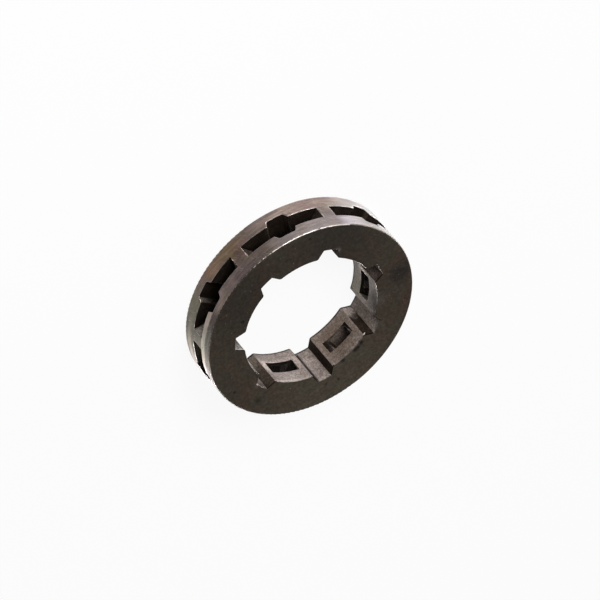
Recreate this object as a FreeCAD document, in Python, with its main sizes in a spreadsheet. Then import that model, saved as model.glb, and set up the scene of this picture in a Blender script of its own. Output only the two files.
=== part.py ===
import FreeCAD, Part
import os
import Sketcher

# Chainsaw rim sprocket: one cast steel ring that carries the drive links of a saw chain.
# It lies on its back face, +Z up along the axis, with the origin at the middle of that face.
# One chain pocket is centred on +X. The spline grooves stand half a step away from the pockets,
# so every pocket breaks through the middle of a spline land.

# Driving dimensions in millimetres, and the number of teeth.
DIMENSIONS = [
    ("tooth_count", "7", "chain pockets, and as many spline grooves"),
    ("rim_diameter", "38.0", "outside diameter, which the chain's straps ride on"),
    ("rim_thickness", "8.0", "from face to face"),
    ("rim_edge_radius", "0.2", "rounding of the two outer edges"),
    ("land_diameter", "24.6", "bore between the lands of the spline"),
    ("land_corner_radius", "0.45", "rounding of the corners of each land"),
    ("groove_depth", "1.7", "from the land circle to the root of a spline groove"),
    ("groove_mouth_width", "3.85", "chord of a groove on the land circle"),
    ("groove_root_width", "2.5", "chord of a groove on the root circle"),
    ("bore_edge_break", "0.12", "bevel round the bore at both faces"),
    ("web_width", "2.35", "metal between two pockets on the outside of the rim"),
    ("slot_width", "2.6", "axial width of the slot for the drive links"),
    ("window_width", "5.0", "chord of a pocket where it opens into the bore"),
    ("recess_depth", "1.0", "depth of a recess in the wall of the slot"),
    ("recess_mouth_width", "3.95", "width of a recess at the wall of the slot"),
    ("recess_floor_width", "2.95", "width of a recess at its floor"),
    ("recess_corner_radius", "0.35", "rounding between a recess's sides and floor"),
    ("recess_end_wall", "0.7", "metal left between the end of a recess and the land"),
]

# Sizes that follow from the driving ones. A reach is a distance from the axis along the middle of
# a cut. Each cut starts and ends as far past the metal as the surface there bulges over its chord.
DERIVED = [
    ("rim_radius", "=rim_diameter / 2"),
    ("land_radius", "=land_diameter / 2"),
    ("root_radius", "=land_radius + groove_depth"),
    ("mid_height", "=rim_thickness / 2"),
    ("groove_mouth_reach", "=sqrt(land_radius ^ 2 - groove_mouth_width ^ 2 / 4)"),
    ("groove_root_reach", "=sqrt(root_radius ^ 2 - groove_root_width ^ 2 / 4)"),
    ("groove_taper",
     "=(groove_mouth_width - groove_root_width) / (groove_root_reach - groove_mouth_reach)"),
    ("groove_start_reach", "=2 * groove_mouth_reach - land_radius"),
    ("groove_start_width",
     "=groove_mouth_width + groove_taper * (groove_mouth_reach - groove_start_reach)"),
    ("web_angle", "=2 * asin(web_width / rim_diameter)"),
    ("pocket_angle", "=360 deg / tooth_count - web_angle"),
    ("pocket_mouth_width", "=rim_diameter * sin(pocket_angle / 2)"),
    ("pocket_mouth_reach", "=rim_radius * cos(pocket_angle / 2)"),
    ("window_reach", "=sqrt(land_radius ^ 2 - window_width ^ 2 / 4)"),
    ("pocket_taper", "=(pocket_mouth_width - window_width) / (pocket_mouth_reach - window_reach)"),
    ("pocket_start_reach", "=2 * window_reach - land_radius"),
    ("pocket_start_width", "=window_width - pocket_taper * (window_reach - pocket_start_reach)"),
    ("pocket_end_reach", "=2 * rim_radius - pocket_mouth_reach"),
    ("pocket_end_width",
     "=pocket_mouth_width + pocket_taper * (pocket_end_reach - pocket_mouth_reach)"),
    ("recess_start_reach", "=land_radius + recess_end_wall"),
    ("recess_length", "=pocket_end_reach - recess_start_reach"),
    ("recess_span", "=slot_width + 2 * recess_depth"),
    ("slot_floor", "=mid_height - slot_width / 2"),
    ("slot_ceiling", "=mid_height + slot_width / 2"),
    ("recess_floor", "=slot_floor - recess_depth"),
    ("recess_ceiling", "=slot_ceiling + recess_depth"),
]

SHEET = "sizes"

# How a sketch numbers the points of a line or arc, its two axes and its origin.
START, END, CENTRE = range(1, 4)
X_AXIS, Y_AXIS = range(-1, -3, -1)
ROOT_POINT = (X_AXIS, START)

# Slack for comparing lengths when edges are picked out by their place.
TOLERANCE = 1e-4


def fill_sheet(sheet):
    """Write every size into the sheet, one row each, and name its cell."""
    rows = DIMENSIONS + [(name, formula, "derived") for name, formula in DERIVED]
    for row, (name, value, note) in enumerate(rows, start=1):
        sheet.set("A%d" % row, name)
        sheet.set("B%d" % row, value)
        sheet.setAlias("B%d" % row, name)
        sheet.set("C%d" % row, note)


def origin_feature(body, role):
    """The plane or axis of the body's own origin that has this role."""
    return next(item for item in body.Origin.OriginFeatures if item.Role == role)


def new_sketch(body, name, plane):
    """An empty sketch on one of the body's origin planes."""
    sketch = body.newObject("Sketcher::SketchObject", name)
    sketch.AttachmentSupport = [(origin_feature(body, plane), "")]
    sketch.MapMode = "FlatFace"
    return sketch


def add_loop(sketch, points):
    """A closed loop of lines through the points, joined end to end."""
    count = len(points)
    corners = [FreeCAD.Vector(x, y, 0) for x, y in points]
    lines = []
    for index in range(count):
        line = Part.LineSegment(corners[index], corners[(index + 1) % count])
        lines.append(sketch.addGeometry(line, False))
    for index in range(count):
        follower = lines[(index + 1) % count]
        sketch.addConstraint(Sketcher.Constraint("Coincident", lines[index], END, follower, START))
    return lines


def size_constraint(sketch, name, kind, *where_and_value, expression):
    """A dimension of the sketch, bound to an expression over the sheet."""
    index = sketch.addConstraint(Sketcher.Constraint(kind, *where_and_value))
    sketch.renameConstraint(index, name)
    sketch.setExpression("Constraints." + name, expression)


def pattern(body, feature, name):
    """Repeat a cut once for each tooth, all round the axis."""
    feature.Document.recompute()
    copies = body.newObject("PartDesign::PolarPattern", name)
    copies.Originals = [feature]
    copies.Axis = (origin_feature(body, "Z_Axis"), [""])
    copies.Angle = 360
    copies.setExpression("Occurrences", SHEET + ".tooth_count")
    body.Tip = copies
    feature.Document.recompute()
    return copies


def edge_names(feature, wanted):
    """Names of the feature's edges for which the test holds."""
    edges = enumerate(feature.Shape.Edges, start=1)
    return ["Edge%d" % number for number, edge in edges if wanted(edge)]


def axis_distance(point):
    """Distance of a point from the Z axis."""
    return (point.x ** 2 + point.y ** 2) ** 0.5


def make_ring(body, sizes):
    """The plain ring: a rectangle beside the axis, turned about it."""
    sketch = new_sketch(body, "ring_section", "XZ_Plane")
    bottom, outside, top, inside = add_loop(sketch, [
        (sizes.land_radius, 0),
        (sizes.rim_radius, 0),
        (sizes.rim_radius, sizes.rim_thickness),
        (sizes.land_radius, sizes.rim_thickness),
    ])
    for line in (bottom, top):
        sketch.addConstraint(Sketcher.Constraint("Horizontal", line))
    for line in (outside, inside):
        sketch.addConstraint(Sketcher.Constraint("Vertical", line))
    sketch.addConstraint(Sketcher.Constraint("PointOnObject", bottom, START, X_AXIS))
    size_constraint(sketch, "inner_radius", "DistanceX", *ROOT_POINT, bottom, START, sizes.land_radius,
                    expression=SHEET + ".land_radius")
    size_constraint(sketch, "outer_radius", "DistanceX", *ROOT_POINT, bottom, END, sizes.rim_radius,
                    expression=SHEET + ".rim_radius")
    size_constraint(sketch, "thickness", "DistanceY", outside, START, outside, END, sizes.rim_thickness,
                    expression=SHEET + ".rim_thickness")
    ring = body.newObject("PartDesign::Revolution", "ring")
    ring.Profile = sketch
    ring.ReferenceAxis = (sketch, ["V_Axis"])
    ring.Angle = 360
    sketch.Document.recompute()
    return ring


def cut_spline(body, sizes):
    """Tapered grooves with a round root along the bore, each between two pockets."""
    sketch = new_sketch(body, "groove_outline", "XY_Plane")
    sketch.AttachmentOffset = FreeCAD.Placement(
        FreeCAD.Vector(), FreeCAD.Rotation(FreeCAD.Vector(0, 0, 1), 180 / sizes.tooth_count))
    sketch.setExpression(".AttachmentOffset.Rotation.Angle", "180 deg / %s.tooth_count" % SHEET)
    half_start = sizes.groove_start_width / 2
    half_root = sizes.groove_root_width / 2
    start_low = FreeCAD.Vector(sizes.groove_start_reach, -half_start, 0)
    start_high = FreeCAD.Vector(sizes.groove_start_reach, half_start, 0)
    root_low = FreeCAD.Vector(sizes.groove_root_reach, -half_root, 0)
    root_mid = FreeCAD.Vector(sizes.root_radius, 0, 0)
    root_high = FreeCAD.Vector(sizes.groove_root_reach, half_root, 0)
    low = sketch.addGeometry(Part.LineSegment(start_low, root_low), False)
    root = sketch.addGeometry(Part.Arc(root_low, root_mid, root_high), False)
    high = sketch.addGeometry(Part.LineSegment(root_high, start_high), False)
    mouth = sketch.addGeometry(Part.LineSegment(start_high, start_low), False)
    joins = [(low, END, root, START), (root, END, high, START), (high, END, mouth, START),
             (mouth, END, low, START), (root, CENTRE, *ROOT_POINT)]
    for join in joins:
        sketch.addConstraint(Sketcher.Constraint("Coincident", *join))
    sketch.addConstraint(Sketcher.Constraint("Symmetric", low, START, high, END, X_AXIS))
    sketch.addConstraint(Sketcher.Constraint("Vertical", low, END, high, START))
    size_constraint(sketch, "root_radius", "Radius", root, sizes.root_radius,
                    expression=SHEET + ".root_radius")
    size_constraint(sketch, "root_width", "DistanceY", low, END, high, START, sizes.groove_root_width,
                    expression=SHEET + ".groove_root_width")
    size_constraint(sketch, "start_width", "DistanceY", low, START, high, END, sizes.groove_start_width,
                    expression=SHEET + ".groove_start_width")
    size_constraint(sketch, "start_reach", "DistanceX", *ROOT_POINT, low, START, sizes.groove_start_reach,
                    expression=SHEET + ".groove_start_reach")
    groove = body.newObject("PartDesign::Pocket", "spline_groove")
    groove.Profile = sketch
    groove.Type = "ThroughAll"
    groove.SideType = "Symmetric"
    return pattern(body, groove, "spline")


def round_edges(body, base, sizes):
    """Round the lands' corners and the rim's outer edges, and bevel the bore at both faces."""
    def is_land_corner(edge):
        ends = [vertex.Point for vertex in edge.Vertexes]
        upright = len(ends) == 2 and abs(ends[0].z - ends[1].z) > sizes.rim_thickness - TOLERANCE
        return upright and all(abs(axis_distance(end) - sizes.land_radius) < TOLERANCE for end in ends)

    def is_rim_edge(edge):
        radius = getattr(edge.Curve, "Radius", 0)
        return abs(radius - sizes.rim_radius) < TOLERANCE and len(edge.Vertexes) == 1

    def is_bore_edge(edge):
        box = edge.BoundBox
        at_face = box.ZLength < TOLERANCE
        farthest = max(axis_distance(point) for point in edge.discretize(3))
        return at_face and farthest < sizes.root_radius + TOLERANCE

    steps = [("land_corners", "PartDesign::Fillet", "Radius", "land_corner_radius", is_land_corner),
             ("rim_edges", "PartDesign::Fillet", "Radius", "rim_edge_radius", is_rim_edge),
             ("bore_edges", "PartDesign::Chamfer", "Size", "bore_edge_break", is_bore_edge)]
    for name, kind, property_name, size_name, wanted in steps:
        dressed = body.newObject(kind, name)
        dressed.Base = (base, edge_names(base, wanted))
        dressed.setExpression(property_name, "%s.%s" % (SHEET, size_name))
        base.Document.recompute()
        base = dressed
    return base


def cut_pockets(body, sizes):
    """V-shaped chain pockets, from the rim's outside right through to the bore."""
    sketch = new_sketch(body, "pocket_outline", "XY_Plane")
    sketch.setExpression(".AttachmentOffset.Base.z", SHEET + ".mid_height")
    half_start = sizes.pocket_start_width / 2
    half_end = sizes.pocket_end_width / 2
    low, outer, high, inner = add_loop(sketch, [
        (sizes.pocket_start_reach, -half_start),
        (sizes.pocket_end_reach, -half_end),
        (sizes.pocket_end_reach, half_end),
        (sizes.pocket_start_reach, half_start),
    ])
    sketch.addConstraint(Sketcher.Constraint("Symmetric", low, START, high, END, X_AXIS))
    sketch.addConstraint(Sketcher.Constraint("Symmetric", low, END, high, START, X_AXIS))
    size_constraint(sketch, "start_reach", "DistanceX", *ROOT_POINT, low, START, sizes.pocket_start_reach,
                    expression=SHEET + ".pocket_start_reach")
    size_constraint(sketch, "end_reach", "DistanceX", *ROOT_POINT, low, END, sizes.pocket_end_reach,
                    expression=SHEET + ".pocket_end_reach")
    size_constraint(sketch, "start_width", "DistanceY", low, START, high, END, sizes.pocket_start_width,
                    expression=SHEET + ".pocket_start_width")
    size_constraint(sketch, "end_width", "DistanceY", outer, START, outer, END, sizes.pocket_end_width,
                    expression=SHEET + ".pocket_end_width")
    pocket = body.newObject("PartDesign::Pocket", "chain_pocket")
    pocket.Profile = sketch
    pocket.Type = "Length"
    pocket.SideType = "Symmetric"
    pocket.setExpression("Length", SHEET + ".slot_width")
    return pattern(body, pocket, "chain_pockets")


def cut_recesses(body, sizes):
    """Rounded channels in both walls of each slot, from the outside to just behind the land."""
    sketch = new_sketch(body, "recess_outline", "YZ_Plane")
    sketch.setExpression(".AttachmentOffset.Base.z", SHEET + ".recess_start_reach")
    half_mouth = sizes.recess_mouth_width / 2
    half_floor = sizes.recess_floor_width / 2
    floor, low_right, right, high_right, ceiling, high_left, left, low_left = add_loop(sketch, [
        (-half_floor, sizes.recess_floor),
        (half_floor, sizes.recess_floor),
        (half_mouth, sizes.slot_floor),
        (half_mouth, sizes.slot_ceiling),
        (half_floor, sizes.recess_ceiling),
        (-half_floor, sizes.recess_ceiling),
        (-half_mouth, sizes.slot_ceiling),
        (-half_mouth, sizes.slot_floor),
    ])
    mirrored = [(floor, START, floor, END), (ceiling, START, ceiling, END),
                (right, START, left, END), (right, END, left, START)]
    for pair in mirrored:
        sketch.addConstraint(Sketcher.Constraint("Symmetric", *pair, Y_AXIS))
    sketch.addConstraint(Sketcher.Constraint("Vertical", right))
    sketch.addConstraint(Sketcher.Constraint("Equal", floor, ceiling))
    size_constraint(sketch, "floor_width", "DistanceX", floor, START, floor, END, sizes.recess_floor_width,
                    expression=SHEET + ".recess_floor_width")
    size_constraint(sketch, "mouth_width", "DistanceX", left, END, right, START, sizes.recess_mouth_width,
                    expression=SHEET + ".recess_mouth_width")
    size_constraint(sketch, "span", "DistanceY", floor, END, ceiling, START, sizes.recess_span,
                    expression=SHEET + ".recess_span")
    size_constraint(sketch, "slot_width", "DistanceY", right, START, right, END, sizes.slot_width,
                    expression=SHEET + ".slot_width")
    size_constraint(sketch, "floor_height", "DistanceY", *ROOT_POINT, floor, END, sizes.recess_floor,
                    expression=SHEET + ".recess_floor")
    size_constraint(sketch, "wall_height", "DistanceY", *ROOT_POINT, right, START, sizes.slot_floor,
                    expression=SHEET + ".slot_floor")
    for number, corner in enumerate([(floor, START), (floor, END), (ceiling, START), (ceiling, END)]):
        arc = sketch.GeometryCount
        sketch.fillet(*corner, sizes.recess_corner_radius, True, True)
        size_constraint(sketch, "corner_radius_%d" % number, "Radius", arc, sizes.recess_corner_radius,
                        expression=SHEET + ".recess_corner_radius")
    recess = body.newObject("PartDesign::Pocket", "recess")
    recess.Profile = sketch
    recess.Type = "Length"
    recess.Reversed = True
    recess.setExpression("Length", SHEET + ".recess_length")
    return pattern(body, recess, "recesses")


def check(document, shape):
    """Stop before anything is written if a feature failed or the solid is not sound."""
    failed = [item.Name for item in document.Objects if set(item.State) & {"Invalid", "Error"}]
    if failed:
        raise RuntimeError("failed features: " + ", ".join(failed))
    if shape.isNull() or not shape.isValid() or len(shape.Solids) != 1:
        raise RuntimeError("the sprocket is not one valid solid")


document = FreeCAD.newDocument("rim_sprocket")
sizes = document.addObject("Spreadsheet::Sheet", SHEET)
fill_sheet(sizes)
document.recompute()

body = document.addObject("PartDesign::Body", "rim_sprocket_body")
body.Label = "rim_sprocket"
make_ring(body, sizes)
splined = cut_spline(body, sizes)
round_edges(body, splined, sizes)
cut_pockets(body, sizes)
cut_recesses(body, sizes)
document.recompute()

check(document, body.Shape)
os.makedirs("parts", exist_ok=True)
body.Shape.exportStep("parts/%s.step" % body.Label)
print("volume %.1f mm3, box %s" % (body.Shape.Volume, body.Shape.BoundBox))
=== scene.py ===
import math

import bmesh
import bpy
from mathutils import Matrix, Vector, noise


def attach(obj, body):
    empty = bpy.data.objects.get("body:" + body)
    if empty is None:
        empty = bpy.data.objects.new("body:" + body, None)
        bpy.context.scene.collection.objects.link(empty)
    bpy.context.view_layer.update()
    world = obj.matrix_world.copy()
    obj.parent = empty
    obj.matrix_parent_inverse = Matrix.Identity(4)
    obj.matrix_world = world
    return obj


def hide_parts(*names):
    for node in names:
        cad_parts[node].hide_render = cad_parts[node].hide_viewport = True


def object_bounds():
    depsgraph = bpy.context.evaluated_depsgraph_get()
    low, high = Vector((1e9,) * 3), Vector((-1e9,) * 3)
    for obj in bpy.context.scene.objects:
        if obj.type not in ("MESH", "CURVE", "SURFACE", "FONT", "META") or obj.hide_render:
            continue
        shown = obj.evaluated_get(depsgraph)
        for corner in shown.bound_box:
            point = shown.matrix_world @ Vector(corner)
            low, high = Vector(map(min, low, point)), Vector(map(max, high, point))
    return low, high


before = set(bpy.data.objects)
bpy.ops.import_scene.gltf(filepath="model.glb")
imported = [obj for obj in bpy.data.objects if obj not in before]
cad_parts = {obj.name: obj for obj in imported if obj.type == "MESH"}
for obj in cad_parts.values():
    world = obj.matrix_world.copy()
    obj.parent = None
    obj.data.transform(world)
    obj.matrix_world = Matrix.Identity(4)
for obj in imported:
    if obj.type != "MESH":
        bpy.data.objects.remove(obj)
cad_low, cad_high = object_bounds()

# Sizes are written in millimetres and brought to metres by this factor.
MM = 0.001
NODE = "rim_sprocket"

# Main sizes: the box comes from the frame, the lands and groove roots from the spline in the bore.
RIM_RADIUS = cad_high.x / MM
THICKNESS = cad_high.z / MM
MID_HEIGHT = THICKNESS / 2
LAND_RADIUS = 12.3
GROOVE_ROOT_RADIUS = 14.0
RIM_EDGE_RADIUS = 0.2
TOOTH_COUNT = 7
TOOTH_STEP = 360.0 / TOOTH_COUNT
GROOVE_HALF_ANGLE = 10.0
RECESS_HALF_ANGLE = 9.0

# The photograph's view: the picture is square, and the camera looks down on the front face.
PICTURE_PX = 600
VIEW_AZIMUTH = 5.89
VIEW_ELEVATION = 41.41
VIEW_ROLL = 139.84
LENS = 1000.0
SENSOR = 36.0
PX_PER_MM = 6.131
FACE_CENTRE_PX = (311.1, 320.1)

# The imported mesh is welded, and faces that meet at less than the flat angle become one again.
WELD = 0.0001
FLAT_ANGLE = 0.5

# Edge breaks on the cut edges that the solid leaves sharp.
EDGE_BREAK = 0.12
SHARP_ANGLE = 50.0
SMOOTH_ANGLE = 25.0

# How far the rim's rounded edge reaches from its outside and its flat faces, and where its middle is.
ROUNDING_REACH = 1.2 * RIM_EDGE_RADIUS
ROUNDING_MIDDLE = 0.6 * RIM_EDGE_RADIUS

# How squarely a surface looks along the axis or inward, from 0 to 1, to count as one of these.
ALONG_ROUNDING = 0.3
ALONG_FACE = 0.95
ALONG_SLOT_WALL = 0.6
INWARD_BORE = 0.7

# Slack for the uneven and broken surfaces in telling where a face lies.
FACE_SLACK = 0.15
BORE_SLACK = 0.1

# The stretch of the rim's edge that is worn bright, with a painted highlight along it, the length of its
# broken pieces, and the noise levels above which the edge is bare there and elsewhere.
WORN_AND_HIGHLIT_STRETCH = (224.0, 287.0)
WORN_WAVE = 2.2
WORN_LEVEL = -0.4
CHIPPED_LEVEL = 0.63

# Burrs on the front edge of the bore: angle, radius, height, length. Across, along and up they are these
# shares of the length.
BURRS = (
    (120.2, 12.42, 7.8, 0.7),
    (37.4, 12.45, 7.85, 0.5),
)
BURR_SHARES = (0.4, 1.0, 0.35)

# Cuts that divide the long faces, so that cast surfaces can be uneven.
CUTS_PER_TOOTH = 36
LAYER_COUNT = 16
CAST_WAVE = 1.6
CAST_DEPTH = 0.035

# Lamps: name, angle from +X towards +Y, elevation, distance, width, height, power.
SOFTBOXES = (
    ("key", 240, 42, 400, 220, 220, 2.05),
    ("fill", 335, 35, 400, 260, 260, 0.2),
    ("side", 217, 1.2, 400, 250, 14, 1.95),
    ("edge", 166, 1.0, 350, 280, 12, 4.1),
    ("back", 42, 1.0, 350, 300, 12, 3.9),
)
WORLD_LEVEL = 0.12

# The table: half its side, the gap under the ring, its grey in the lamps' light, its share of plain white.
FLOOR_HALF = 2000.0
FLOOR_GAP = 0.02
FLOOR_GREY = 0.6
FLOOR_WHITE_SHARE = 0.92

# Cast surfaces: near black up to a height above the back, darker along the front edge, and painted shade in
# the corners.
# A near black for soot in pits and nicks, and for painted shade in marks.
SOOT_AND_SHADE = (0.004, 0.003, 0.002)
BACK_DARK_HEIGHT = 0.5
FRONT_EDGE_DARK_REACH = 0.25
FRONT_EDGE_DARK_TONE = 0.4
CORNER_SHADE_REACH = 0.6
CORNER_SHADE_TONE = 0.2

# Scratches: waves per millimetre along and across them, and how softly they fade.
SCRATCH_ALONG = 0.5
SCRATCH_ACROSS = 9.0
SCRATCH_SOFTNESS = 0.06

# Marks on the front face, painted light and painted shade in broad patches and dark pits, nicks and smudges:
# angle round the axis, radius, reach, share, colour.
FACE_MARKS = (
    (80.0, 17.0, 20.0, 0.8, (0.056, 0.0455, 0.032)),
    (230.0, 16.0, 14.0, 0.55, (0.011, 0.009, 0.007)),
    (300.0, 16.0, 14.0, 0.55, (0.011, 0.009, 0.007)),
    (247.4, 17.5, 0.45, 1.0, SOOT_AND_SHADE),
    (315.5, 13.6, 0.50, 1.0, SOOT_AND_SHADE),
    (10.8, 17.3, 0.42, 1.0, SOOT_AND_SHADE),
    (85.6, 15.8, 0.46, 1.0, SOOT_AND_SHADE),
    (168.4, 16.9, 3.4, 0.9, (0.0145, 0.012, 0.010)),
    (20.9, 14.1, 1.0, 0.6, (0.100, 0.085, 0.075)),
    (130.0, 14.0, 1.8, 0.5, (0.055, 0.045, 0.036)),
    (152.0, 12.7, 2.2, 0.7, (0.060, 0.050, 0.042)),
    (113.5, 12.9, 0.65, 1.0, SOOT_AND_SHADE),
    (109.2, 13.0, 0.6, 1.0, SOOT_AND_SHADE),
    (106.2, 12.9, 0.65, 1.0, SOOT_AND_SHADE),
    (94.5, 12.7, 0.6, 0.9, SOOT_AND_SHADE),
    (225.8, 13.9, 0.9, 0.7, (0.105, 0.095, 0.082)),
    (77.3, 15.3, 0.4, 0.8, SOOT_AND_SHADE),
    (30.1, 16.6, 0.9, 0.7, SOOT_AND_SHADE),
)
# Marks on the rim, temper tints with painted sheen, painted light and painted shade: angle, height, reach,
# share, colour.
RIM_MARKS = (
    (284.0, 1.8, 4.6, 0.8, (0.145, 0.092, 0.054)),
    (289.0, 1.2, 3.2, 0.6, (0.190, 0.142, 0.084)),
    (298.0, 1.2, 3.6, 0.8, (0.188, 0.118, 0.078)),
    (277.0, 3.6, 2.8, 0.7, (0.170, 0.105, 0.100)),
    (289.0, 6.9, 4.2, 0.6, (0.170, 0.125, 0.125)),
    (222.0, 6.9, 4.5, 0.7, (0.235, 0.220, 0.250)),
    (320.0, 1.5, 5.5, 0.8, (0.145, 0.134, 0.094)),
    (207.0, 3.5, 8.0, 0.9, (0.125, 0.124, 0.123)),
    (241.0, 7.0, 5.5, 0.8, (0.158, 0.138, 0.135)),
    (331.0, 6.5, 6.5, 0.85, (0.157, 0.147, 0.124)),
    (40.0, 1.8, 4.6, 0.7, (0.190, 0.125, 0.072)),
    (92.0, 6.5, 5.0, 0.6, (0.170, 0.105, 0.100)),
    (125.0, 2.0, 4.5, 0.6, (0.190, 0.150, 0.075)),
    (158.0, 5.5, 4.5, 0.6, (0.130, 0.122, 0.132)),
    (338.0, 2.0, 7.0, 0.85, (0.124, 0.112, 0.085)),
    (358.0, 5.0, 6.5, 0.9, (0.140, 0.140, 0.140)),
    (232.0, 4.2, 2.4, 0.5, (0.095, 0.079, 0.074)),
    (231.0, 6.0, 2.4, 0.6, (0.110, 0.092, 0.096)),
    (239.0, 1.9, 2.8, 0.6, (0.118, 0.080, 0.074)),
    (327.0, 1.2, 3.0, 0.6, (0.105, 0.098, 0.072)),
    (192.0, 4.0, 7.0, 0.95, (0.160, 0.162, 0.166)),
    (258.0, 7.0, 4.5, 0.7, (0.152, 0.137, 0.136)),
)
# Stretches of the rim made lighter or darker, the chain's polish and dull wear, painted highlights and
# painted shade: two angles, two heights, brightness.
# Angles are counted from 180 to 540 here. Only the stretches all round cross the ends of that range.
ALL_ROUND = (170.0, 550.0)
WEBS = (2.7, 5.3)
FRONT_SIDE = (5.2, 8.2)
FRONT_TRACK = (5.2, 6.4)
FRONT_LIP = (6.5, 8.2)
RIM_WEAR_AND_PAINTED_LIGHT = (
    (*ALL_ROUND, *FRONT_TRACK, 1.10),
    (*ALL_ROUND, 0.9, 1.9, 1.08),
    (313.0, 356.0, *FRONT_TRACK, 1.75),
    (311.0, 348.0, *FRONT_LIP, 0.62),
    (330.0, 356.0, -0.2, 0.8, 0.52),
    (332.0, 356.0, 1.9, 2.8, 0.52),
    (268.0, 292.0, *FRONT_SIDE, 0.72),
    (234.0, 252.0, *FRONT_SIDE, 0.75),
    (234.0, 251.0, -0.2, 2.8, 0.88),
    (250.0, 262.0, 0.9, 2.0, 1.25),
    (259.0, 269.0, *FRONT_TRACK, 0.85),
    (200.0, 214.0, *FRONT_SIDE, 0.80),
    (294.0, 299.0, *FRONT_SIDE, 0.80),
    (302.0, 308.0, *FRONT_SIDE, 1.28),
    (312.0, 323.0, *FRONT_LIP, 0.78),
    (328.0, 341.0, *WEBS, 0.70),
    (228.0, 236.0, *WEBS, 0.85),
    (280.0, 286.0, *WEBS, 0.75),
    (364.0, 540.0, *WEBS, 0.75),
    (372.0, 404.0, *FRONT_TRACK, 1.40),
    (390.0, 440.0, *FRONT_LIP, 0.72),
    (425.0, 470.0, 0.9, 2.0, 1.30),
    (462.0, 500.0, *FRONT_SIDE, 0.75),
    (485.0, 525.0, -0.2, 0.8, 0.70),
)
# A painted shadow along the corner of one groove, written like the rim's stretches.
BORE_SHADOW_BANDS = (
    (431.0, 433.2, 0.6, 8.2, 0.05),
)
# How softly a stretch ends, in degrees on the rim and in the bore and in millimetres across, and its sway.
RIM_BAND_SOFTNESS = 2.5
BORE_BAND_SOFTNESS = 0.5
BAND_EDGE_SOFTNESS = 0.12
BAND_SWAY = 0.5
# Marks on the other surfaces, nearly all painted light and painted shade: angle, radius, height, reach,
# share, colour.
# On the bore: painted light and painted shade on the lands and groove roots, and one dark nick.
BORE_MARKS = (
    (103.0, LAND_RADIUS, 4.0, 8.0, 0.95, (0.096, 0.066, 0.047)),
    (51.0, LAND_RADIUS, 6.6, 3.4, 0.7, (0.350, 0.302, 0.280)),
    (113.5, 12.45, 7.95, 0.5, 1.0, SOOT_AND_SHADE),
    (97.0, LAND_RADIUS, 8.0, 2.4, 0.6, (0.060, 0.045, 0.036)),
    (158.0, LAND_RADIUS, 4.0, 5.5, 0.8, (0.350, 0.304, 0.272)),
    (163.0, LAND_RADIUS, 6.3, 2.4, 0.8, (0.440, 0.395, 0.365)),
    (134.0, GROOVE_ROOT_RADIUS, 8.0, 3.3, 0.9, (0.050, 0.039, 0.030)),
    (128.6, GROOVE_ROOT_RADIUS, 4.0, 4.2, 0.6, (0.165, 0.132, 0.105)),
    (150.0, LAND_RADIUS, 8.3, 4.2, 0.95, (0.016, 0.013, 0.010)),
    (146.0, LAND_RADIUS, 1.8, 3.4, 0.7, (0.290, 0.272, 0.205)),
    (27.0, GROOVE_ROOT_RADIUS, 8.0, 3.4, 0.9, (0.045, 0.037, 0.032)),
    (13.0, LAND_RADIUS, 7.5, 2.6, 0.95, (0.020, 0.016, 0.013)),
    (180.0, GROOVE_ROOT_RADIUS, 7.0, 3.5, 0.8, (0.085, 0.066, 0.055)),
)
# On the flanks: painted light and painted shade.
FLANK_PAINTED_SHADING = (
    (34.5, 13.2, 1.0, 3.6, 0.9, (0.140, 0.116, 0.097)),
    (33.0, 13.0, 5.8, 3.0, 0.8, (0.060, 0.045, 0.036)),
    (122.5, 12.6, 1.0, 2.8, 0.9, (0.360, 0.300, 0.275)),
    (341.7, 13.0, 7.0, 2.6, 0.95, (0.250, 0.230, 0.217)),
    (314.5, 18.2, 3.5, 3.0, 0.9, (0.085, 0.073, 0.065)),
    (173.0, 13.2, 6.0, 3.4, 0.9, (0.074, 0.058, 0.049)),
    (147.1, 13.7, 2.2, 1.8, 1.0, SOOT_AND_SHADE),
    (58.8, 13.7, 2.2, 1.8, 1.0, SOOT_AND_SHADE),
)
# On the webs: painted light and painted shade.
WEB_PAINTED_SHADING = (
    (278.5, 18.2, 3.8, 2.4, 1.0, (0.012, 0.009, 0.007)),
    (334.0, 18.0, 4.0, 3.5, 0.9, (0.240, 0.210, 0.185)),
    (139.0, 13.8, 3.5, 3.6, 1.0, SOOT_AND_SHADE),
)
# In the slots: painted light and painted shade.
POCKET_PAINTED_SHADING = (
    (102.0, 14.8, 2.0, 4.0, 0.9, (0.160, 0.125, 0.105)),
    (345.0, 18.4, 2.7, 3.4, 0.9, (0.060, 0.045, 0.028)),
    (92.0, 13.7, 2.7, 1.8, 0.95, (0.010, 0.007, 0.005)),
    (51.4, 15.0, 2.0, 3.5, 0.9, (0.004, 0.002, 0.002)),
)


def view_axes(azimuth, elevation, roll):
    """Right, up and backward directions of a camera that looks at the object from these angles."""
    a = math.radians(azimuth)
    e = math.radians(elevation)
    t = math.radians(roll)
    back = Vector((math.sin(a) * math.cos(e), -math.cos(a) * math.cos(e), math.sin(e)))
    level = Vector((0, 0, 1)).cross(back).normalized()
    upright = back.cross(level)
    up = math.cos(t) * upright - math.sin(t) * level
    return up.cross(back), up, back


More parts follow.
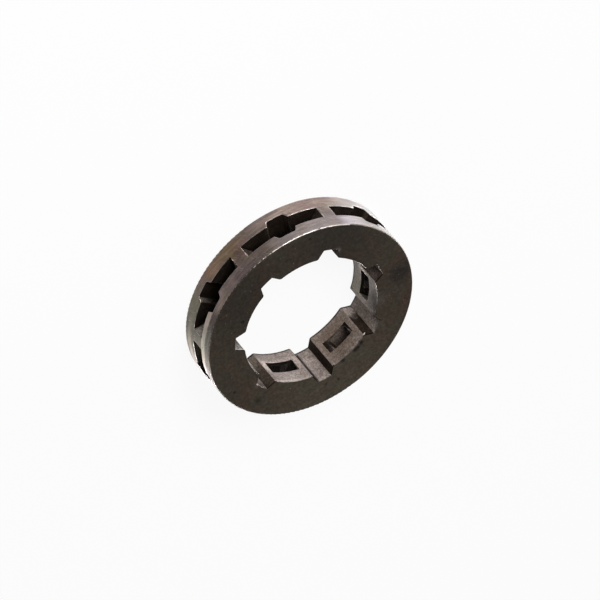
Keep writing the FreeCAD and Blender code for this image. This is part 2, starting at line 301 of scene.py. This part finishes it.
def add_camera():
    """A long lens from far off, turned as in the photograph, with the front face where it is there."""
    right, up, back = view_axes(VIEW_AZIMUTH, VIEW_ELEVATION, VIEW_ROLL)
    distance = LENS / SENSOR * PICTURE_PX / PX_PER_MM
    centre = PICTURE_PX / 2
    aside = (FACE_CENTRE_PX[0] - centre) / PX_PER_MM
    below = (FACE_CENTRE_PX[1] - centre) / PX_PER_MM
    place = Vector((0, 0, THICKNESS)) - aside * right + below * up + distance * back
    data = bpy.data.cameras.new("camera")
    data.lens = LENS
    data.sensor_width = SENSOR
    camera = bpy.data.objects.new("camera", data)
    turn = Matrix((right, up, back)).transposed().to_4x4()
    camera.matrix_world = Matrix.Translation(place * MM) @ turn
    bpy.context.scene.collection.objects.link(camera)
    bpy.context.scene.camera = camera


def mark_edges(ring, broken):
    """Writes 1 on the middle of every edge break and rim rounding, and 0 elsewhere."""
    layer = ring.verts.layers.float.new("edge")
    for vert in ring.verts:
        place = vert.co / MM
        inset = RIM_RADIUS - place.to_2d().length
        below = MID_HEIGHT - abs(place.z - MID_HEIGHT)
        on_break = all(face in broken for face in vert.link_faces)
        on_rounding = max(inset, below) < ROUNDING_MIDDLE
        vert[layer] = 1.0 if on_break or on_rounding else 0.0


def cut(ring, point, normal):
    """Divides every face that this plane crosses."""
    everything = [*ring.verts, *ring.edges, *ring.faces]
    bmesh.ops.bisect_plane(ring, geom=everything, dist=WELD * MM, plane_co=point, plane_no=normal)


def divide(ring):
    """Level cuts and cuts through the axis, closer together than the cast surface's waves."""
    for layer in range(1, LAYER_COUNT):
        cut(ring, (0, 0, layer / LAYER_COUNT * THICKNESS * MM), (0, 0, 1))
    turns = TOOTH_COUNT * CUTS_PER_TOOTH
    for turn in range(turns // 2):
        angle = 2 * math.pi * turn / turns
        cut(ring, (0, 0, 0), (math.cos(angle), math.sin(angle), 0))


def roughen(ring):
    """Moves the cast surfaces in the bore and the pockets in and out a little, and leaves the turned rim."""
    ring.normal_update()
    moves = []
    for vert in ring.verts:
        place = vert.co / MM
        radius = place.to_2d().length
        if radius > RIM_RADIUS - EDGE_BREAK:
            continue
        level = Vector((vert.normal.x, vert.normal.y, 0))
        depth = CAST_DEPTH * noise.noise(place / CAST_WAVE)
        moves.append((vert, level * depth * MM))
    for vert, move in moves:
        vert.co += move


def rubbed_bare(place):
    """Whether the rim's rounded edge has lost its oxide here, as most of it has on the worn stretch, which
    carries a painted highlight.
    """
    turn = math.degrees(math.atan2(place.y, place.x)) % 360
    on_stretch = WORN_AND_HIGHLIT_STRETCH[0] < turn < WORN_AND_HIGHLIT_STRETCH[1]
    return noise.noise(place / WORN_WAVE) > (WORN_LEVEL if on_stretch else CHIPPED_LEVEL)


def finish_of(face):
    """The finish that a face has, told from where it lies and where it looks."""
    middle = face.calc_center_median() / MM
    outward = middle.to_2d().normalized()
    radius = middle.to_2d().length
    height = abs(middle.z - MID_HEIGHT)
    looks_in = -face.normal.to_2d().dot(outward)
    looks_along = abs(face.normal.z)
    if radius > RIM_RADIUS - ROUNDING_REACH:
        on_rounding = looks_along > ALONG_ROUNDING and height > MID_HEIGHT - ROUNDING_REACH
        return face_steel if on_rounding and not rubbed_bare(middle) else rim_steel
    if looks_along > ALONG_FACE and height > MID_HEIGHT - FACE_SLACK:
        return face_steel
    in_bore = radius < GROOVE_ROOT_RADIUS + BORE_SLACK
    if looks_in > INWARD_BORE and in_bore:
        return bore_steel
    if looks_along > ALONG_SLOT_WALL:
        return shaded_pocket_steel
    from_groove = abs((math.degrees(math.atan2(middle.y, middle.x)) % TOOTH_STEP) - TOOTH_STEP / 2)
    in_groove = in_bore and from_groove < GROOVE_HALF_ANGLE
    in_recess = from_groove > TOOTH_STEP / 2 - RECESS_HALF_ANGLE
    return shaded_flank_steel if in_groove or in_recess else shaded_web_steel


def add_burr(ring, angle, radius, height, length):
    """A sliver of metal pushed out along an edge of the bore, worn bright, with a painted glint."""
    turn = Matrix.Rotation(math.radians(angle), 4, "Z")
    place = Matrix.Translation(Vector((radius, 0, height)) * MM)
    shape = Matrix.Diagonal((*(share * length * MM for share in BURR_SHARES), 1))
    made = bmesh.ops.create_icosphere(ring, subdivisions=2, radius=0.5, matrix=turn @ place @ shape)
    for face in {face for vert in made["verts"] for face in vert.link_faces}:
        face.material_index = FINISHES.index(bare_glinting_steel)
        face.smooth = True


def worn_ring(node):
    """The ring's own mesh with its cut edges broken and its cast surfaces uneven."""
    ring = bmesh.new()
    ring.from_mesh(node.data)
    bmesh.ops.remove_doubles(ring, verts=ring.verts, dist=WELD * MM)
    bmesh.ops.dissolve_limit(ring, angle_limit=math.radians(FLAT_ANGLE), verts=ring.verts,
                             edges=ring.edges)
    sharp = [e for e in ring.edges if e.is_convex and e.calc_face_angle() > math.radians(SHARP_ANGLE)]
    broken = bmesh.ops.bevel(ring, geom=sharp, offset=EDGE_BREAK * MM, offset_type="OFFSET", segments=2,
                             profile=0.5, affect="EDGES", clamp_overlap=False)
    mark_edges(ring, set(broken["faces"]))
    divide(ring)
    for face in ring.faces:
        face.material_index = FINISHES.index(finish_of(face))
        face.smooth = True
    roughen(ring)
    for burr in BURRS:
        add_burr(ring, *burr)
    mesh = bpy.data.meshes.new("worn_ring")
    ring.to_mesh(mesh)
    ring.free()
    mesh.set_sharp_from_angle(angle=math.radians(SMOOTH_ANGLE))
    piece = bpy.data.objects.new("worn_ring", mesh)
    bpy.context.scene.collection.objects.link(piece)
    normals = piece.modifiers.new("normals", "WEIGHTED_NORMAL")
    normals.keep_sharp = True
    normals.weight = 100
    return piece


class Tree:
    """A short way to write node trees: each call adds a node and returns its output."""

    def __init__(self, owner):
        owner.use_nodes = True
        self.tree = owner.node_tree
        self.tree.nodes.clear()

    def add(self, kind, inputs=(), output=0, **settings):
        """Adds a node with these settings and inputs, and returns one of its outputs."""
        made = self.tree.nodes.new(kind)
        for name, value in settings.items():
            setattr(made, name, value)
        for key, value in dict(inputs).items():
            self.put(made.inputs[key], value)
        return made.outputs[output]

    def put(self, socket, value):
        """Links an output to a socket, or sets the socket's own value."""
        if isinstance(value, bpy.types.NodeSocket):
            self.tree.links.new(value, socket)
        else:
            socket.default_value = value

    def math(self, operation, a, b=0.0, c=0.0):
        return self.add("ShaderNodeMath", {0: a, 1: b, 2: c}, operation=operation)

    def step(self, value, low, high):
        """0 below low, 1 above high, smooth between; low above high turns it round."""
        return self.add("ShaderNodeMapRange", {"Value": value, "From Min": low, "From Max": high},
                        interpolation_type="SMOOTHSTEP", clamp=True)

    def span(self, value, low, high):
        """A 0 to 1 value stretched to low to high."""
        return self.add("ShaderNodeMapRange", {"Value": value, "To Min": low, "To Max": high}, clamp=True)

    def mix(self, share, a, b, blend="MIX"):
        """Two colours mixed. Other sockets have the same names as the colours', so these go by number."""
        made = self.tree.nodes.new("ShaderNodeMix")
        made.data_type = "RGBA"
        made.blend_type = blend
        self.put(made.inputs["Factor"], share)
        self.put(made.inputs[6], a)
        self.put(made.inputs[7], b)
        return made.outputs[2]

    def times(self, colour, value):
        """A colour made lighter or darker by a value about 1."""
        grey = self.add("ShaderNodeCombineColor", {0: value, 1: value, 2: value})
        return self.mix(1.0, colour, grey, "MULTIPLY")

    def noise(self, place, scale, detail=3.0, roughness=0.55):
        return self.add("ShaderNodeTexNoise", {"Vector": place, "Scale": scale, "Detail": detail,
                                               "Roughness": roughness})

    def stretch(self, place, x, y, z):
        return self.add("ShaderNodeVectorMath", {0: place, 1: (x, y, z)}, operation="MULTIPLY")

    def place(self):
        """Where a point of the object is, in millimetres."""
        here = self.add("ShaderNodeTexCoord", output="Object")
        return self.add("ShaderNodeVectorMath", {0: here, "Scale": 1 / MM}, operation="SCALE")

    def polar(self, place):
        """A point's angle round the axis, in radians from -pi to pi, and its height."""
        apart = self.tree.nodes.new("ShaderNodeSeparateXYZ")
        self.put(apart.inputs[0], place)
        return self.math("ARCTAN2", apart.outputs["Y"], apart.outputs["X"]), apart.outputs["Z"]

    def ragged(self, place, scale, detail):
        """Noise about 0, by which a border is shifted."""
        return self.math("SUBTRACT", self.noise(place, scale, detail), 0.5)

    def unrolled(self, place):
        """The rim laid out flat: length round it, and height."""
        angle, height = self.polar(place)
        length = self.math("MULTIPLY", angle, RIM_RADIUS)
        return self.add("ShaderNodeCombineXYZ", {0: length, 1: height})

    def scratches(self, place, slant, share):
        """Fine straight lines that lie at this slant on a flat surface."""
        turned = self.add("ShaderNodeVectorRotate", {"Vector": place, "Angle": math.radians(slant)},
                          rotation_type="Z_AXIS")
        line = self.noise(self.stretch(turned, SCRATCH_ALONG, SCRATCH_ACROSS, SCRATCH_ALONG), 1.0, 2.0)
        return self.step(line, 1 - share, 1 - share + SCRATCH_SOFTNESS)

    def pits(self, place, scale, size):
        """Round dots with soft borders, one in a cell, with some cells left empty."""
        cell = self.tree.nodes.new("ShaderNodeTexVoronoi")
        self.put(cell.inputs["Vector"], place)
        self.put(cell.inputs["Scale"], scale)
        dot = self.step(cell.outputs["Distance"], size * scale, 0.5 * size * scale)
        luck = self.add("ShaderNodeSeparateColor", {0: cell.outputs["Color"]})
        return self.math("MULTIPLY", dot, self.step(luck, 0.5, 0.9))

    def edge_wear_and_glint(self, place):
        """Bright lines along the edges, broken here and there: wear and painted highlights."""
        edge = self.add("ShaderNodeAttribute", output="Fac", attribute_name="edge")
        broken = self.step(self.noise(place, 1.0, 3.0), 0.36, 0.58)
        return self.math("MULTIPLY", self.step(edge, 0.3, 0.9), broken)

    def marked(self, tone, place, marks):
        """Colour with marks on it, each full near its centre and gone at its reach, with a ragged border."""
        ragged = self.ragged(place, 1.1, 4.0)
        for angle, radius, height, reach, share, colour in marks:
            turn = math.radians(angle)
            centre = (radius * math.cos(turn), radius * math.sin(turn), height)
            away = self.add("ShaderNodeVectorMath", {0: place, 1: centre}, "Value", operation="DISTANCE")
            away = self.math("MULTIPLY_ADD", ragged, reach, away)
            inside = self.math("MULTIPLY", self.step(away, reach, 0.1 * reach), share)
            tone = self.mix(inside, tone, rgb(*colour))
        return tone

    def inside(self, value, low, high, soft):
        """1 between low and high, 0 outside, with soft borders."""
        above = self.step(value, low - soft, low + soft)
        below = self.step(value, high + soft, high - soft)
        return self.math("MULTIPLY", above, below)

    def banded(self, tone, place, bands, soft):
        """Colour that is lighter or darker on stretches round the axis, each with a ragged border."""
        angle, height = self.polar(place)
        turn = self.math("MULTIPLY_ADD", angle, 180 / math.pi, 360.0)
        height = self.math("MULTIPLY_ADD", self.ragged(place, 1.3, 3.0), BAND_SWAY, height)
        for start, end, bottom, top, brightness in bands:
            across = self.inside(height, bottom, top, BAND_EDGE_SOFTNESS)
            share = self.math("MULTIPLY", self.inside(turn, start, end, soft), across)
            tone = self.times(tone, self.math("MULTIPLY_ADD", share, brightness - 1, 1.0))
        return tone

    def bump(self, height, depth):
        return self.add("ShaderNodeBump", {"Strength": 1.0, "Distance": depth * MM, "Height": height})

    def surface(self, **sockets):
        """Ends a material with one shader; the names of its sockets are written with underscores."""
        shader = self.tree.nodes.new("ShaderNodeBsdfPrincipled")
        for name, value in sockets.items():
            self.put(shader.inputs[name.replace("_", " ")], value)
        out = self.tree.nodes.new("ShaderNodeOutputMaterial")
        self.put(out.inputs["Surface"], shader.outputs[0])


def rgb(red, green, blue):
    """A colour as the nodes take it."""
    return (red, green, blue, 1.0)


def face_steel():
    """Flat faces: dull dark oxide, mottled brown and green, with a fine grain, pits and scuffs, and painted
    light and painted shade in broad patches.
    """
    material = bpy.data.materials.new("face_steel")
    t = Tree(material)
    place = t.place()
    cloud = t.noise(place, 0.25, 4.0)
    blotch = t.noise(place, 0.9, 4.0)
    speckle = t.step(t.noise(place, 2.0, 3.0), 0.3, 0.7)
    grain = t.noise(place, 4.5, 3.0, 0.7)
    tone = t.mix(t.step(cloud, 0.38, 0.62), rgb(0.0410, 0.0268, 0.0187), rgb(0.0345, 0.0290, 0.0195))
    # Painted light and painted shade in broad patches, with dark pits, nicks and smudges.
    tone = t.marked(tone, place, [(angle, radius, THICKNESS, *look) for angle, radius, *look in FACE_MARKS])
    tone = t.times(tone, t.span(blotch, 0.6, 1.4))
    tone = t.times(tone, t.span(speckle, 0.75, 1.25))
    tone = t.times(tone, t.span(grain, 0.6, 1.4))
    scuffs = t.math("MULTIPLY", t.scratches(place, 25, 0.32), t.step(blotch, 0.5, 0.65))
    tone = t.mix(t.math("MULTIPLY", scuffs, 0.5), tone, rgb(0.085, 0.075, 0.062))
    tone = t.mix(t.pits(place, 1.3, 0.12), tone, rgb(0.09, 0.08, 0.065))
    pits = t.pits(place, 0.33, 0.2)
    tone = t.mix(pits, tone, rgb(*SOOT_AND_SHADE))
    height = t.math("MULTIPLY_ADD", pits, -3.0, grain)
    t.surface(Base_Color=tone, Metallic=0.2, Roughness=t.span(grain, 0.5, 0.75), Specular_IOR_Level=0.25,
              Normal=t.bump(height, 0.02))
    return material


def rim_steel():
    """The turned rim: bare metal with temper tints, fine lines round it, scratches, bright edges of wear and
    painted highlight, and painted sheen, light and shade in marks and stretches.
    """
    material = bpy.data.materials.new("rim_steel")
    t = Tree(material)
    place = t.place()
    lines = t.noise(t.stretch(place, 0.35, 0.35, 7.0), 1.0, 3.0, 0.6)
    patch = t.noise(place, 0.4, 4.0)
    grain = t.noise(place, 3.0, 3.0, 0.7)
    tone = t.mix(t.step(patch, 0.4, 0.65), rgb(0.155, 0.117, 0.105), rgb(0.156, 0.122, 0.100))
    # Temper tints, the chain's polish and wear, and painted sheen, highlights and shade.
    tone = t.marked(tone, place, [(angle, RIM_RADIUS, *look) for angle, *look in RIM_MARKS])
    tone = t.banded(tone, place, RIM_WEAR_AND_PAINTED_LIGHT, RIM_BAND_SOFTNESS)
    tone = t.times(tone, t.span(lines, 0.8, 1.2))
    tone = t.times(tone, t.span(grain, 0.8, 1.2))
    flat = t.unrolled(place)
    streaks = t.step(t.noise(t.stretch(flat, 0.4, 2.4, 1.0), 1.0, 3.0), 0.3, 0.7)
    tone = t.times(tone, t.span(streaks, 0.8, 1.2))
    bright = t.math("MAXIMUM", t.scratches(flat, 55, 0.36), t.scratches(flat, 8, 0.35))
    tone = t.mix(t.math("MULTIPLY", bright, 0.5), tone, rgb(0.40, 0.35, 0.32))
    tone = t.mix(t.math("MULTIPLY", t.scratches(flat, 120, 0.36), 0.5), tone, rgb(0.07, 0.05, 0.042))
    tone = t.mix(t.pits(place, 0.8, 0.14), tone, rgb(0.05, 0.035, 0.028))
    # Bright edges: wear and painted highlights.
    tone = t.mix(t.edge_wear_and_glint(place), tone, rgb(0.40, 0.385, 0.37))
    t.surface(Base_Color=tone, Metallic=1.0, Roughness=t.span(lines, 0.32, 0.5), Anisotropic=0.75,
              Anisotropic_Rotation=0.25,
              Tangent=t.add("ShaderNodeTangent", direction_type="RADIAL", axis="Z"),
              Normal=t.bump(lines, 0.004))
    return material


def cast_steel(name, dark, light, specular, roughness, depth, marks, wear=0.0, bands=()):
    """A cast surface: grain on two tones, painted shade in the corners, near black at the back, darker along
    the front edge.
    """
    material = bpy.data.materials.new(name)
    t = Tree(material)
    place = t.place()
    grain = t.step(t.noise(place, 3.4, 2.0, 0.6), 0.3, 0.7)
    blotch = t.noise(place, 0.8, 3.0)
    tone = t.mix(t.step(blotch, 0.2, 0.8), dark, light)
    # Marks, nearly all painted light and painted shade.
    tone = t.marked(tone, place, marks)
    # Painted shadow on stretches round the axis.
    if bands:
        tone = t.banded(tone, place, bands, BORE_BAND_SOFTNESS)
    tone = t.times(tone, t.span(grain, 0.6, 1.4))
    # Painted shade in the corners, by how closed in a point is.
    open_air = t.add("ShaderNodeAmbientOcclusion", {"Distance": CORNER_SHADE_REACH * MM}, "AO", samples=8,
                     only_local=True)
    tone = t.times(tone, t.span(t.step(open_air, 0.45, 0.9), CORNER_SHADE_TONE, 1.0))
    height = t.add("ShaderNodeSeparateXYZ", {0: place}, "Z")
    # Near black up to a height above the back.
    tone = t.mix(t.step(height, BACK_DARK_HEIGHT, 0.5 * BACK_DARK_HEIGHT), tone, rgb(*SOOT_AND_SHADE))
    # Darker along the front edge.
    front_edge = t.step(height, THICKNESS - FRONT_EDGE_DARK_REACH, THICKNESS)
    tone = t.times(tone, t.span(front_edge, 1.0, FRONT_EDGE_DARK_TONE))
    # Bright edges: wear and painted highlights.
    tone = t.mix(t.math("MULTIPLY", t.edge_wear_and_glint(place), wear), tone, rgb(0.34, 0.29, 0.26))
    t.surface(Base_Color=tone, Roughness=roughness, Specular_IOR_Level=specular,
              Specular_Tint=rgb(1.0, 0.88, 0.78), Normal=t.bump(grain, depth))
    return material


def bore_steel():
    """Bore lands and groove roots: light, with a fine cast grain, painted light and painted shade in marks,
    and a painted shadow along one groove.
    """
    return cast_steel("bore_steel", rgb(0.195, 0.156, 0.140), rgb(0.265, 0.222, 0.205), specular=0.3,
                      roughness=0.5, depth=0.02, marks=BORE_MARKS, wear=0.12, bands=BORE_SHADOW_BANDS)


def shaded_flank_steel():
    """Flanks of the grooves and of the recesses: the cast steel made dark brown as painted shade."""
    return cast_steel("shaded_flank_steel", rgb(0.014, 0.009, 0.006), rgb(0.027, 0.019, 0.014), specular=0.05,
                      roughness=0.7, depth=0.03, marks=FLANK_PAINTED_SHADING)


def shaded_web_steel():
    """Sides of the webs between the pockets: the cast steel made dark as painted shade, with bright edges of
    wear and painted highlight.
    """
    return cast_steel("shaded_web_steel", rgb(0.016, 0.011, 0.008), rgb(0.034, 0.026, 0.021), specular=0.02,
                      roughness=0.8, depth=0.03, marks=WEB_PAINTED_SHADING, wear=0.5)


def shaded_pocket_steel():
    """Walls of the chain slots: rough, the cast steel made near black as painted shade."""
    return cast_steel("shaded_pocket_steel", rgb(0.005, 0.003, 0.002), rgb(0.010, 0.007, 0.005), specular=0.05,
                      roughness=0.8, depth=0.03, marks=POCKET_PAINTED_SHADING)


def bare_glinting_steel():
    """Metal that has just been rubbed or pushed out, still without oxide, made light as a painted glint."""
    material = bpy.data.materials.new("bare_glinting_steel")
    t = Tree(material)
    tone = t.mix(t.noise(t.place(), 3.0), rgb(0.42, 0.37, 0.32), rgb(0.72, 0.66, 0.59))
    t.surface(Base_Color=tone, Metallic=0.4, Roughness=0.4)
    return material


FINISHES = (face_steel, rim_steel, bore_steel, shaded_flank_steel, shaded_web_steel, shaded_pocket_steel, bare_glinting_steel)


def add_floor():
    """A white table, white as such to the camera and in reflections, that keeps the ring's shadow."""
    half = FLOOR_HALF * MM
    level = -FLOOR_GAP * MM
    corners = [(-half, -half, level), (half, -half, level), (half, half, level), (-half, half, level)]
    mesh = bpy.data.meshes.new("floor")
    mesh.from_pydata(corners, [], [(0, 1, 2, 3)])
    floor = bpy.data.objects.new("floor", mesh)
    bpy.context.scene.collection.objects.link(floor)
    material = bpy.data.materials.new("white_table")
    t = Tree(material)
    lit = t.add("ShaderNodeBsdfDiffuse", {"Color": rgb(FLOOR_GREY, FLOOR_GREY, FLOOR_GREY)})
    white = t.add("ShaderNodeEmission", {"Color": rgb(1, 1, 1), "Strength": 1.0})
    path = t.tree.nodes.new("ShaderNodeLightPath")
    mirrored = t.math("MAXIMUM", path.outputs["Is Glossy Ray"], path.outputs["Is Transmission Ray"])
    seen = t.math("MAXIMUM", path.outputs["Is Camera Ray"], mirrored)
    both = t.add("ShaderNodeMixShader", {0: t.math("MULTIPLY", seen, FLOOR_WHITE_SHARE), 1: lit, 2: white})
    out = t.tree.nodes.new("ShaderNodeOutputMaterial")
    t.put(out.inputs["Surface"], both)
    mesh.materials.append(material)


def add_world():
    """A dim, even light from all round."""
    world = bpy.data.worlds.new("studio")
    t = Tree(world)
    glow = t.add("ShaderNodeBackground", {"Color": rgb(1, 1, 1), "Strength": WORLD_LEVEL})
    out = t.tree.nodes.new("ShaderNodeOutputWorld")
    t.put(out.inputs["Surface"], glow)
    bpy.context.scene.world = world


def add_softbox(name, azimuth, elevation, distance, width, height, power):
    """A wide lamp that faces the ring."""
    a = math.radians(azimuth)
    e = math.radians(elevation)
    towards = Vector((math.cos(a) * math.cos(e), math.sin(a) * math.cos(e), math.sin(e)))
    data = bpy.data.lights.new(name, "AREA")
    data.shape = "RECTANGLE"
    data.size = width * MM
    data.size_y = height * MM
    data.energy = power
    lamp = bpy.data.objects.new(name, data)
    lamp.location = (towards * distance + Vector((0, 0, MID_HEIGHT))) * MM
    lamp.rotation_mode = "QUATERNION"
    lamp.rotation_quaternion = towards.to_track_quat("Z", "Y")
    lamp.visible_camera = False
    bpy.context.scene.collection.objects.link(lamp)


add_camera()
ring = worn_ring(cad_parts[NODE])
for finish in FINISHES:
    ring.data.materials.append(finish())
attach(ring, "root")
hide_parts(NODE)
add_floor()
add_world()
for softbox in SOFTBOXES:
    add_softbox(*softbox)
bpy.context.scene.view_settings.view_transform = "Standard"
